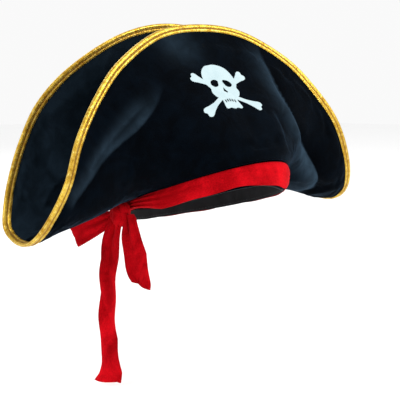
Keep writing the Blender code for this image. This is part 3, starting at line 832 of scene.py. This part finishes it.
def face_tree(grids):
    shape = bmesh.new()
    for grid in grids:
        add_grid(shape, grid)
    shape.normal_update()
    tree = BVHTree.FromBMesh(shape)
    shape.free()
    return tree


def smooth_loop(values, passes):
    for _ in range(passes):
        values = (np.roll(values, 1, axis=0) + 2 * values + np.roll(values, -1, axis=0)) / 4
    return values


def rim_frames():
    """Points, normals through the brim and outward directions, evenly once round the edge."""
    loops = []
    for front in (True, False):
        stations = np.linspace(0, 1, 240)
        edge = brim_points(front, stations, np.array([1.0]))[:, 0]
        behind = brim_points(front, stations, np.array([0.96]))[:, 0]
        normal = brim_normals(front, stations, np.array([1.0]))[:, 0]
        loops.append((edge, edge - behind, normal))
    (edge_f, way_f, normal_f), (edge_r, way_r, normal_r) = loops
    mirror = np.array([-1, 1, 1])
    rings = []
    for fore, aft in ((edge_f, edge_r), (way_f, way_r), (normal_f, normal_r)):
        half = np.vstack([fore[:-1], aft[::-1]])
        rings.append(np.vstack([half, half[-2:0:-1] * mirror]))
    closed = np.vstack([rings[0], rings[0][:1]])
    along = np.append(0, np.cumsum(np.linalg.norm(np.diff(closed, axis=0), axis=1)))
    wanted = np.linspace(0, along[-1], BRAID_SAMPLES * 2, endpoint=False)
    out = []
    for ring in rings:
        looped = np.vstack([ring, ring[:1]])
        out.append(np.stack([np.interp(wanted, along, axis) for axis in looped.T], axis=-1))
    points, ways, normals = out
    points = smooth_loop(points, 2)
    tangents = unit(np.roll(points, -1, axis=0) - np.roll(points, 1, axis=0))
    normals = unit(smooth_loop(unit(normals), 14))
    normals = unit(normals - tangents * np.sum(normals * tangents, axis=1, keepdims=True))
    outward = np.cross(normals, tangents)
    outward *= np.sign(np.sum(outward * ways, axis=1, keepdims=True) + 1e-12)
    return points, tangents, normals, outward, wanted


def braid_height(depth):
    """Height of the tape above the brim, by depth in from the edge: two rolls and a sewn groove."""
    fall = 1 - smooth_step(BRAID_LEG - 0.0012, BRAID_LEG, depth)
    groove = 0.0007 * np.exp(-(((depth - GROOVE_DEPTH) / 0.0006) ** 2))
    return 0.00025 + (0.00090 - groove) * fall



def make_braid(outer_tree, inner_tree):
    points, tangents, normals, outward, along = rim_frames()
    beyond_groove = [BRAID_LEG, 0.0066, 0.0060, 0.0051, 0.0043, 0.0039]
    depths = np.array(beyond_groove + [GROOVE_DEPTH, 0.0031, 0.0026, 0.0018, 0.0008])
    loops, strips, stitches = [], [], []
    middle = points - normals * BRIM_THICKNESS / 2
    for t, n, out, mid, run in zip(tangents, normals, outward, middle, along):
        loop, strip = [], []
        for side, tree in ((1, outer_tree), (-1, inner_tree)):
            leg = []
            for depth in depths:
                guess = mid - out * depth + n * side * EDGE_THICKNESS / 2
                hit = np.array(tree.find_nearest(Vector(guess))[0])
                slip = hit - guess
                rise = float(np.clip(slip @ n, -0.004, 0.004))
                leg.append(guess + n * rise + n * side * float(braid_height(depth)))
                if depth == GROOVE_DEPTH:
                    stitches.append((run, side, leg[-1], t, n * side))
            across = [0.0104 - d for d in depths] if side > 0 else [0.0126 + d for d in depths[::-1]]
            loop.append(leg if side > 0 else leg[::-1])
            strip.append([(run, a, 0) for a in across])
        first, last = loop[0][-1], loop[1][0]
        radius = np.linalg.norm(first - last) / 2
        cap, cap_strip = [], []
        for k, angle in enumerate(np.radians([30, 60, 90, 120, 150])):
            centre = (first + last) / 2
            spread = (first - last) / 2
            cap.append(centre + spread * math.cos(angle) + out * min(radius, 0.0026) * math.sin(angle))
            cap_strip.append((run, 0.0104 + 0.0022 * (k + 1) / 6, 0))
        under = [loop[1][-1] + n * TURNED_UNDER, loop[0][0] - n * TURNED_UNDER]
        loops.append(loop[0] + cap + loop[1] + under)
        strips.append(strip[0] + cap_strip + strip[1] + [(run, 0.0200, 0), (run, 0.0004, 0)])
    shape = tube(loops)
    places = [place for strip in strips for place in strip]
    shape.verts.ensure_lookup_table()
    layer = shape.verts.layers.float_vector.new("strip")
    for i, vert in enumerate(shape.verts):
        vert[layer] = places[i]
    mesh = closed_mesh("gold_braid_tape", shape)
    link("gold_braid_tape", mesh, GOLD, stands_for=["gold_braid"])
    make_stitches(stitches)


STITCH_PITCH = 0.0036
STITCH_HALF = 0.0011


def make_stitches(places):
    """Short raised threads along the braid's groove, on both faces of the brim."""
    shape = bmesh.new()
    for side in (1, -1):
        line = [place for place in places if place[1] == side]
        runs = np.array([place[0] for place in line])
        centres = smooth_loop(np.array([place[2] for place in line]), 2)
        ways = np.array([place[3] for place in line])
        normals = np.array([place[4] for place in line])
        for run in np.arange(0, runs[-1], STITCH_PITCH):
            at = [np.array([np.interp(run, runs, c) for c in v.T]) for v in (centres, ways, normals)]
            centre, way, normal = at[0], unit(at[1]), unit(at[2])
            beside = np.cross(way, normal)
            rings = []
            for t, size in ((-1, 0.35), (-0.55, 1), (0.55, 1), (1, 0.35)):
                ring = []
                for angle in np.radians([0, 60, 120, 180, 240, 300]):
                    lift = 0.00022 + 0.00026 * size * math.sin(angle)
                    aside = beside * 0.0003 * size * math.cos(angle)
                    ring.append(centre + way * t * STITCH_HALF + normal * lift + aside)
                rings.append([shape.verts.new(p) for p in ring])
            for a, b in zip(rings, rings[1:]):
                bridge(shape, a, b, closed=True)
            shape.faces.new(rings[0][::-1])
            shape.faces.new(rings[-1])
    mesh = closed_mesh("gold_braid_stitches", shape)
    link("gold_braid_stitches", mesh, GOLD_THREAD)


# ---------------------------------------------------------------- crown, lining and sweatband


def make_cap():
    half = np.linspace(0, np.pi, 49)
    side_levels = np.concatenate([np.linspace(-1, 0, 7), np.linspace(0.03, 0.62, 20)])
    inner_levels = np.linspace(0.05, 0.62, 18)
    tip_levels = np.append(np.linspace(0.6225, 0.96, 14), 0.995)
    layers = (
        ("crown", 0.0, CROWN_WALL, side_levels, BLACK_VELVET, "black_velvet", 0.0),
        ("lining", CROWN_WALL + 0.0003, 0.0006, inner_levels, LINING, "lining", 0.0008),
    )
    for name, inset, wall, levels, material, slot, wrinkle in layers:
        for side, angles in (("left", half), ("right", half + np.pi)):
            grids = []
            for depth in (inset, inset + wall):
                points = cap_points(angles, levels, depth)
                inward = unit(cap_points(angles, levels, depth + 0.001) - points)
                points = points + inward * (uneven(points, 0.022, wrinkle, 5.0) + wrinkle * 0.6)[..., None]
                grids.append(points)
            piece = f"{name}_{side}"
            obj = link(piece, skin(piece, *grids), material, stands_for=[f"{name}_side_{side}"])
            under = [f"{name}_side_{side}"]
        angles = np.linspace(0, 2 * np.pi, 72, endpoint=False)
        top = cap_points(angles, tip_levels, inset)
        under = cap_points(angles, tip_levels, inset + wall)
        shape = bmesh.new()
        rows_top = add_grid(shape, top, wrap=True)
        rows_under = add_grid(shape, under, wrap=True)
        bridge(shape, [row[0] for row in rows_top], [row[0] for row in rows_under], closed=True)
        shape.faces.new([row[-1] for row in rows_top])
        shape.faces.new([row[-1] for row in rows_under])
        piece = f"{name}_tip_panel"
        obj = link(piece, closed_mesh(piece, shape), material, stands_for=[f"{name}_tip"])


def make_tip_seam():
    """The turned seam that joins the crown's top to its sides."""
    angles = np.linspace(0, 2 * np.pi, 120, endpoint=False)
    line = cap_points(angles, [0.610, 0.62125, 0.632], 0.0004)
    way = unit(line[:, 2] - line[:, 0])
    run = unit(np.roll(line[:, 1], -1, axis=0) - np.roll(line[:, 1], 1, axis=0))
    above = np.cross(way, run)
    ring = np.radians(np.arange(0, 360, 45))
    loops = []
    for centre, w, a in zip(line[:, 1], way, above):
        loops.append([centre + w * 0.0011 * math.cos(t) + a * 0.0009 * math.sin(t) for t in ring])
    link("crown_tip_seam", closed_mesh("crown_tip_seam", tube(loops)), BLACK_VELVET)


TAPE_THICKNESS = 0.0008


def make_sweatband():
    angles = np.linspace(0, 2 * np.pi, 144, endpoint=False)
    levels = np.linspace(-1, 0, 12)
    inset = CROWN_WALL + 0.0004
    outer = cap_points(angles, levels, inset)
    inner = cap_points(angles, levels, inset + TAPE_THICKNESS)
    outward = unit(inner * [1, 1, 0])
    roll = 0.0004 * np.sin(np.pi * (levels + 1)) ** 0.5
    mesh = skin("sweatband_tape", outer, inner - outward * roll[None, :, None], wrap=True)
    tape = link("sweatband_tape", mesh, TAPE, stands_for=["sweatband"])
    stitches = bmesh.new()
    turns = np.linspace(0, 2 * np.pi, 150, endpoint=False)
    line = cap_points(turns, [-0.88], inset + TAPE_THICKNESS + 0.0004)[:, 0]
    for i, centre in enumerate(line):
        way = unit(line[(i + 1) % len(line)] - line[i - 1])
        turned = Vector((1, 0, 0)).rotation_difference(Vector(way)).to_matrix().to_4x4()
        matrix = Matrix.Translation(centre) @ turned @ Matrix.Diagonal((0.0011, 0.0003, 0.0003, 1))
        bmesh.ops.create_icosphere(stitches, subdivisions=1, radius=1, matrix=matrix)
    link("sweatband_stitches", closed_mesh("sweatband_stitches", stitches), BLACK_THREAD)


def make_root_welt():
    """A round velvet welt over the seam where both brims join the crown."""
    angles = np.linspace(0, 2 * np.pi, 160, endpoint=False)
    centre = oval(angles, 0.0022, -0.0004)
    way = unit(np.roll(centre, -1, axis=0) - np.roll(centre, 1, axis=0))
    outward = unit(np.stack([np.sin(angles), -np.cos(angles), 0 * angles], axis=-1))
    up = np.cross(way, outward)
    ring = np.radians(np.arange(0, 360, 36))
    loops = []
    for c, o, u in zip(centre, outward, up):
        loops.append([c + o * 0.0021 * math.cos(a) + u * 0.0017 * math.sin(a) for a in ring])
    link("root_welt", closed_mesh("root_welt", tube(loops)), BLACK_VELVET)


# ---------------------------------------------------------------- red band, knot, bow and ends


def make_headband():
    """The band's cloth: rolled edges, a soft lengthwise fold, and pleats drawn together at the knot."""
    angles = np.linspace(-np.pi, np.pi, 300, endpoint=False)
    t = np.linspace(0, 1, 26)
    top_drop = 0.0006 + 0.0026 * np.clip(np.cos(angles), 0, 1)
    wave = 0.0010 * np.sin(5.3 * angles + 0.8) + 0.0006 * np.sin(11 * angles + 2.0)
    height = band_height(angles) - top_drop + wave
    knot_angle = np.radians(-98)
    near_knot = np.exp(-(((angles - knot_angle) / 0.42) ** 2))
    rounded_off = (2 * t - 1) ** 2
    inset = 0.0006 - 0.0018 * (1 - rounded_off) + 0.0013 * rounded_off**2
    inset = inset[None, :] * (1 - 0.5 * near_knot)[:, None]
    fold_row = 0.40 + 0.10 * np.sin(angles * 1.7 + 0.5) + 0.08 * np.sin(angles * 4.1)
    front_only = smooth_step(-0.4, 0.5, np.cos(angles))[:, None]
    crease = np.exp(-np.abs(t[None, :] - fold_row[:, None]) / 0.055)
    inset = inset + 0.0009 * crease * (0.25 + 0.75 * front_only)
    second = 0.72 + 0.06 * np.sin(angles * 2.3 + 2.0)
    inset = inset + 0.0006 * np.exp(-(((t[None, :] - second[:, None]) / 0.08) ** 2)) * front_only
    pleats = 0.0011 * np.sin(2 * np.pi * 3.2 * t)[None, :] * near_knot[:, None]
    inset = inset + pleats
    grid = []
    for a, drop0, high, row_inset in zip(angles, top_drop, height, inset):
        row = []
        for s, depth in zip(t, row_inset):
            p = oval(np.array([a]), depth, drop0 + high * s)[0]
            row.append(p)
        grid.append(row)
    outer = np.array(grid)
    outward = unit(outer * [1, 1, 0])
    outer = outer + outward * uneven(outer, 0.016, 0.0006, 41.0)[..., None]
    edge = np.sin(np.pi * np.clip(t, 0.02, 0.98)) ** 0.35
    inner = outer - outward * (0.0003 + 0.0011 * edge)[None, :, None]
    mesh = skin("headband_cloth", outer, inner, wrap=True)
    band = link("headband_cloth", mesh, RED_VELVET, stands_for=["headband"])


def make_knot():
    """The wrap of the knot: a fat band across, pinched in creases where the ribbon turns under."""
    shape = bmesh.new()
    rings, sides = 30, 48
    rows = []
    for i in range(1, rings):
        polar = np.pi * i / rings
        row = []
        for k in range(sides):
            turn = 2 * np.pi * k / sides
            around = math.sin(polar)
            direction = np.array((around * math.cos(turn), around * math.sin(turn), math.cos(polar)))
            crease = abs(math.sin(2.5 * turn + 0.9 * math.cos(polar * 2))) ** 0.5
            waist = 1 - 0.10 * math.exp(-((direction[2] / 0.28) ** 2))
            size = (0.76 + 0.25 * crease) * waist * 1.20
            row.append(KNOT_CENTRE + direction * KNOT_HALF * size)
        rows.append([shape.verts.new(p) for p in row])
    for a, b in zip(rows, rows[1:]):
        bridge(shape, a, b, closed=True)
    for row, sign in ((rows[0], 1), (rows[-1], -1)):
        cap = shape.verts.new(KNOT_CENTRE + np.array((0, 0, sign * 0.92)) * KNOT_HALF)
        for k in range(sides):
            shape.faces.new((row[k], row[(k + 1) % sides], cap))
    link("knot_wrap", closed_mesh("knot_wrap", shape), RED_VELVET, stands_for=["knot"])


def ribbon_cloth(name, rows, top, body, node, gather, phase, curl, cut):
    """A hanging ribbon of doubled velvet: pleated at its top, creased, and cut across at its end."""
    facing = np.cross([0, 0, 1], RIBBON_ACROSS)
    line = smooth_curve(rows, 10)
    span = np.linspace(-0.5, 0.5, 33)
    columns = []
    length = abs(line[-1, 0])
    for height, shift, width in line:
        t = min(1, abs(height) / length)
        pleat = gather * math.exp(-abs(height) / 0.020) * np.cos(2 * np.pi * 2.5 * span + phase)
        ripple = 0.0017 * np.cos(2 * np.pi * span + 14 * height + phase)
        slant = 0.0025 * np.exp(-np.abs(span - 0.62 * math.sin(38 * height + phase)) / 0.10)
        slant += 0.0016 * (1 - smooth_step(0.25, 0.6, t)) * np.exp(-np.abs(span + 0.18 - 0.5 * t) / 0.09)
        lip = curl * t**4 * (2 * span) ** 2
        twist = 0.22 * math.sin(21 * height + phase) * min(1, t * 6)
        wave = pleat + ripple + slant + lip + twist * span * width
        sway = 0.0009 * math.sin(70 * height + phase) + 0.0006 * math.sin(151 * height)
        drop = height - cut * t**3 * span
        columns.append(
            RIBBON_ACROSS * (shift + sway + width * span)[:, None]
            + facing * wave[:, None]
            + np.array([0, 0, 1]) * drop[:, None]
        )
    points = np.array(columns)
    body_rows = line[:, 0] < -0.004
    points -= facing * np.mean(points[body_rows] @ facing)
    points = points + top
    normals = grid_normals(points)
    edge = np.sqrt(np.clip(1 - (2 * np.abs(span)) ** 8, 0.02, 1))
    half = 0.00075 * edge[None, :, None]
    mesh = skin(name, points + normals * half, points - normals * half)
    bend = (tuple(top + [0, 0, 0.004]), tuple(top - [0, 0, 0.014]))
    obj = link(name, mesh, RED_VELVET, body=body, stands_for=[node], bend=bend)
    return obj


def make_tails():
    long_rows = (
        (0.0085, 0.000, 0.012),
        (-0.0015, 0.000, 0.0165),
        (-0.030, -0.004, 0.0210),
        (-0.062, -0.008, 0.0195),
        (-0.095, -0.0088, 0.0205),
        (-0.135, -0.006, 0.0200),
        (-0.152, -0.008, 0.0245),
        (-0.163, -0.012, 0.0300),
    )
    ribbon_cloth(
        "long_end",
        long_rows,
        LONG_TAIL_TOP,
        body="long_tail",
        node="long_tail",
        gather=0.0022,
        phase=0.4,
        curl=0.0016,
        cut=0.0,
    )
    short_rows = (
        (0.0070, -0.002, 0.011),
        (-0.0015, 0.000, 0.0150),
        (-0.020, 0.002, 0.0205),
        (-0.042, 0.0075, 0.0225),
        (-0.057, 0.0112, 0.0225),
        (-0.064, 0.0120, 0.0190),
    )
    ribbon_cloth(
        "short_end",
        short_rows,
        SHORT_TAIL_TOP,
        body="short_tail",
        node="short_tail",
        gather=0.0018,
        phase=2.1,
        curl=0.0012,
        cut=0.007,
    )


def make_bow_loop():
    """A ribbon folded back on itself into a soft loop, drawn together in pleats at the knot."""
    along = unit(BOW_DIRECTION)
    width_way = unit(np.cross(along, np.cross([0, 0, 1], along)))
    opening = np.cross(along, width_way)
    turn = np.linspace(0, np.pi, 60)
    reach = BOW_LENGTH * np.sin(turn) ** 0.7
    swell = 0.0062 * np.cos(turn) * (0.25 + 0.75 * np.sin(turn))
    start = reach < 0.001
    reach[start] = -0.004
    part = np.clip(reach / BOW_LENGTH, 0, 1)
    half = 0.0142 * (0.42 + 0.58 * part**0.6)
    span = np.linspace(-1, 1, 29)
    rows = []
    for r, s, w, p, a in zip(reach, swell, half, part, turn):
        pleat = 0.0017 * (1 - p) ** 1.2 * np.cos(np.pi * 2.6 * span + (0.4 if a < np.pi / 2 else 2.2))
        soft = 0.0009 * p * np.sin(np.pi * 1.3 * span + 3 * a)
        side = 1 if a < np.pi / 2 else -1
        offset = s + side * (pleat + soft)
        rows.append(along * r + opening * offset[:, None] + width_way * (w * span)[:, None])
    points = np.array(rows) + BOW_START
    normals = grid_normals(points)
    edge = np.sqrt(np.clip(1 - np.abs(span) ** 8, 0.02, 1))
    thick = 0.0007 * edge[None, :, None]
    mesh = skin("bow_loop_cloth", points + normals * thick, points - normals * thick)
    obj = link("bow_loop_cloth", mesh, RED_VELVET, body="bow_loop", stands_for=["bow_loop"])


# ---------------------------------------------------------------- emblem

EMBLEM_CENTRE = np.array((-0.0073, -0.0465, 0.1025))
EMBLEM_LEAN = 0.72
BONE_TILT = 0.576
UPPER_REACH = 0.0365
LOWER_RIGHT_REACH = 0.0368
LOWER_LEFT_REACH = 0.0405


def ring_outline(centre, half_sizes, sides):
    angles = np.linspace(0, 2 * np.pi, sides, endpoint=False)
    return np.array(centre) + np.stack([np.cos(angles), np.sin(angles)], axis=1) * half_sizes


def rounded(points, steps=6):
    """A smooth closed outline through the given points."""
    points = np.array([(x, y, 0) for x, y in points], float)
    padded = np.vstack([points[-2:], points, points[:2]])
    curve = smooth_curve(padded, steps)
    return curve[2 * steps : -2 * steps, :2]


def mirrored(half):
    return list(half) + [(-x, y) for x, y in reversed(half) if abs(x) > 1e-9]


def skull_outline():
    half = (
        (0.0000, 0.0346),
        (0.0096, 0.0328),
        (0.0168, 0.0268),
        (0.0199, 0.0180),
        (0.0192, 0.0098),
        (0.0166, 0.0052),
        (0.0172, 0.0004),
        (0.0146, -0.0046),
        (0.0112, -0.0066),
        (0.0096, -0.0104),
        (0.0108, -0.0182),
        (0.0088, -0.0200),
        (0.0044, -0.0190),
        (0.0000, -0.0203),
    )
    return rounded(mirrored(half))


def bone_half(reach):
    shaft, flare = 0.0021, 0.0053
    upper = (
        (0.0, shaft),
        (0.55 * reach, shaft * 1.08),
        (0.72 * reach, shaft * 1.45),
        (0.86 * reach, flare * 0.80),
        (0.95 * reach, flare * 1.02),
        (1.03 * reach, flare * 1.00),
        (1.08 * reach, flare * 0.55),
    )
    return list(upper) + [(1.05 * reach, 0.0)] + [(x, -y) for x, y in reversed(upper)]


def bone_outline(slope, right_reach, left_reach):
    right = bone_half(right_reach)
    left = [(-x, -y) for x, y in bone_half(left_reach)[1:-1]]
    points = rounded(list(right) + left)
    turn = np.array([[math.cos(slope), math.sin(slope)], [-math.sin(slope), math.cos(slope)]])
    return points @ turn


def emblem_holes():
    eye = (
        (0.0028, 0.0136),
        (0.0060, 0.0160),
        (0.0116, 0.0144),
        (0.0138, 0.0100),
        (0.0100, 0.0070),
        (0.0046, 0.0088),
    )
    nose = (
        (0.0000, 0.0066),
        (0.0014, 0.0040),
        (0.0034, 0.0012),
        (0.0020, 0.0000),
        (0.0000, 0.0012),
        (-0.0016, 0.0022),
    )
    holes = [rounded(eye), rounded([(-x, y) for x, y in eye])]
    holes.append(rounded(nose, 3))
    for i in range(-2, 3):
        holes.append(ring_outline((i * 0.0031, -0.0092 - 0.0003 * i * i), (0.0011, 0.0021), 8))
    return holes


def inside(points, outline):
    """Which points lie inside a closed outline."""
    x, y = points[:, 0], points[:, 1]
    result = np.zeros(len(points), bool)
    for (x0, y0), (x1, y1) in zip(outline, np.roll(outline, -1, axis=0)):
        crosses = (y0 > y) != (y1 > y)
        at = x0 + (y - y0) * (x1 - x0) / (y1 - y0 if y1 != y0 else 1e-12)
        result ^= crosses & (x < at)
    return result


def make_emblem(tree):
    """One flat film cut to the outline, laid over the velvet's folds."""
    solid = [skull_outline()]
    solid.append(bone_outline(BONE_TILT, UPPER_REACH, LOWER_LEFT_REACH))
    solid.append(bone_outline(-BONE_TILT, LOWER_RIGHT_REACH, UPPER_REACH))
    holes = emblem_holes()
    spots, edges = [], []
    for outline in solid + holes:
        start = len(spots)
        count = len(outline)
        spots += [Vector((x, y)) for x, y in outline]
        edges += [(start + i, start + (i + 1) % count) for i in range(count)]
    pitch = 0.0018
    for i, y in enumerate(np.arange(-0.030, 0.040, pitch * 0.866)):
        for x in np.arange(-0.042, 0.042, pitch):
            spots.append(Vector((x + (i % 2) * pitch / 2, y)))
    flat, _, faces, *_ = geometry.delaunay_2d_cdt(spots, edges, [], 0, 1e-6)
    flat = np.array(flat)
    centres = np.array([flat[list(face)].mean(axis=0) for face in faces])
    keep = np.zeros(len(faces), bool)
    for outline in solid:
        keep |= inside(centres, outline)
    for outline in holes:
        keep &= ~inside(centres, outline)
    across = np.array((1.0, 0, 0))
    out = np.array((0, -math.cos(EMBLEM_LEAN), math.sin(EMBLEM_LEAN)))
    upward = np.cross(out, across)
    shape = bmesh.new()
    near, far = {}, {}
    for i in sorted({i for face, kept in zip(faces, keep) if kept for i in face}):
        start = EMBLEM_CENTRE + across * flat[i][0] + upward * flat[i][1] + out * 0.05
        hit, normal, *_ = tree.ray_cast(Vector(start), Vector(-out))
        if normal.dot(Vector(out)) < 0:
            normal = -normal
        near[i] = shape.verts.new(hit + normal * 0.00055)
        far[i] = shape.verts.new(hit + normal * 0.00015)
    counts = {}
    for face, kept in zip(faces, keep):
        if not kept:
            continue
        shape.faces.new([near[i] for i in face])
        shape.faces.new([far[i] for i in reversed(face)])
        for a, b in zip(face, list(face[1:]) + [face[0]]):
            counts[(a, b)] = counts.get((a, b), 0) + 1
    for (a, b) in counts:
        if (b, a) not in counts:
            shape.faces.new((near[b], near[a], far[a], far[b]))
    mesh = closed_mesh("skull_film", shape)
    link("skull_film", mesh, FILM, stands_for=["skull_emblem"], smooth_angle=35)


# ---------------------------------------------------------------- the whole hat

place_camera()
make_studio()
BLACK_VELVET = velvet(
    "black_velvet_pile",
    deep=(0.0001, 0.0005, 0.0012),
    pale=(0.0007, 0.0025, 0.0054),
    # Bluish painted sheen colour for the pile attribute's painted highlights.
    painted_sheen_colour=(0.0220, 0.0400, 0.0600),
    tint=(0.22, 0.56, 1.0),
    sheen=0.08,
)
RED_VELVET = velvet(
    "red_velvet_pile",
    deep=(0.24, 0.0003, 0.0020),
    pale=(0.86, 0.0050, 0.013),
    painted_sheen_colour=(0.86, 0.010, 0.02),
    tint=(1.0, 0.12, 0.16),
    sheen=0.22,
    mottle=0.14,
)
GOLD = braid_gold()
GOLD_THREAD = cloth("gold_thread", (0.24, 0.11, 0.02), (0.42, 0.22, 0.04), 0.0004)
BLACK_THREAD = cloth("black_thread", (0.02, 0.02, 0.022), (0.05, 0.05, 0.055), 0.0004)
LINING = cloth("lining_cloth", (0.008, 0.008, 0.010), (0.022, 0.022, 0.026), 0.0005, 0.45)
TAPE = cloth("sweatband_cloth", (0.004, 0.004, 0.005), (0.012, 0.012, 0.014), 0.0009, 0.8, 0.04)
SPONGE = sponge()
FILM = film_white()

front_faces = brim_faces(True)
rear_faces = brim_faces(False)
make_brim(True, front_faces)
make_brim(False, rear_faces)
outer_tree = face_tree([front_faces[0], rear_faces[0]])
inner_tree = face_tree([front_faces[1], rear_faces[1]])
make_braid(outer_tree, inner_tree)
make_cap()
make_tip_seam()
make_sweatband()
make_root_welt()
make_headband()
make_knot()
make_tails()
make_bow_loop()
make_emblem(face_tree([front_faces[0]]))
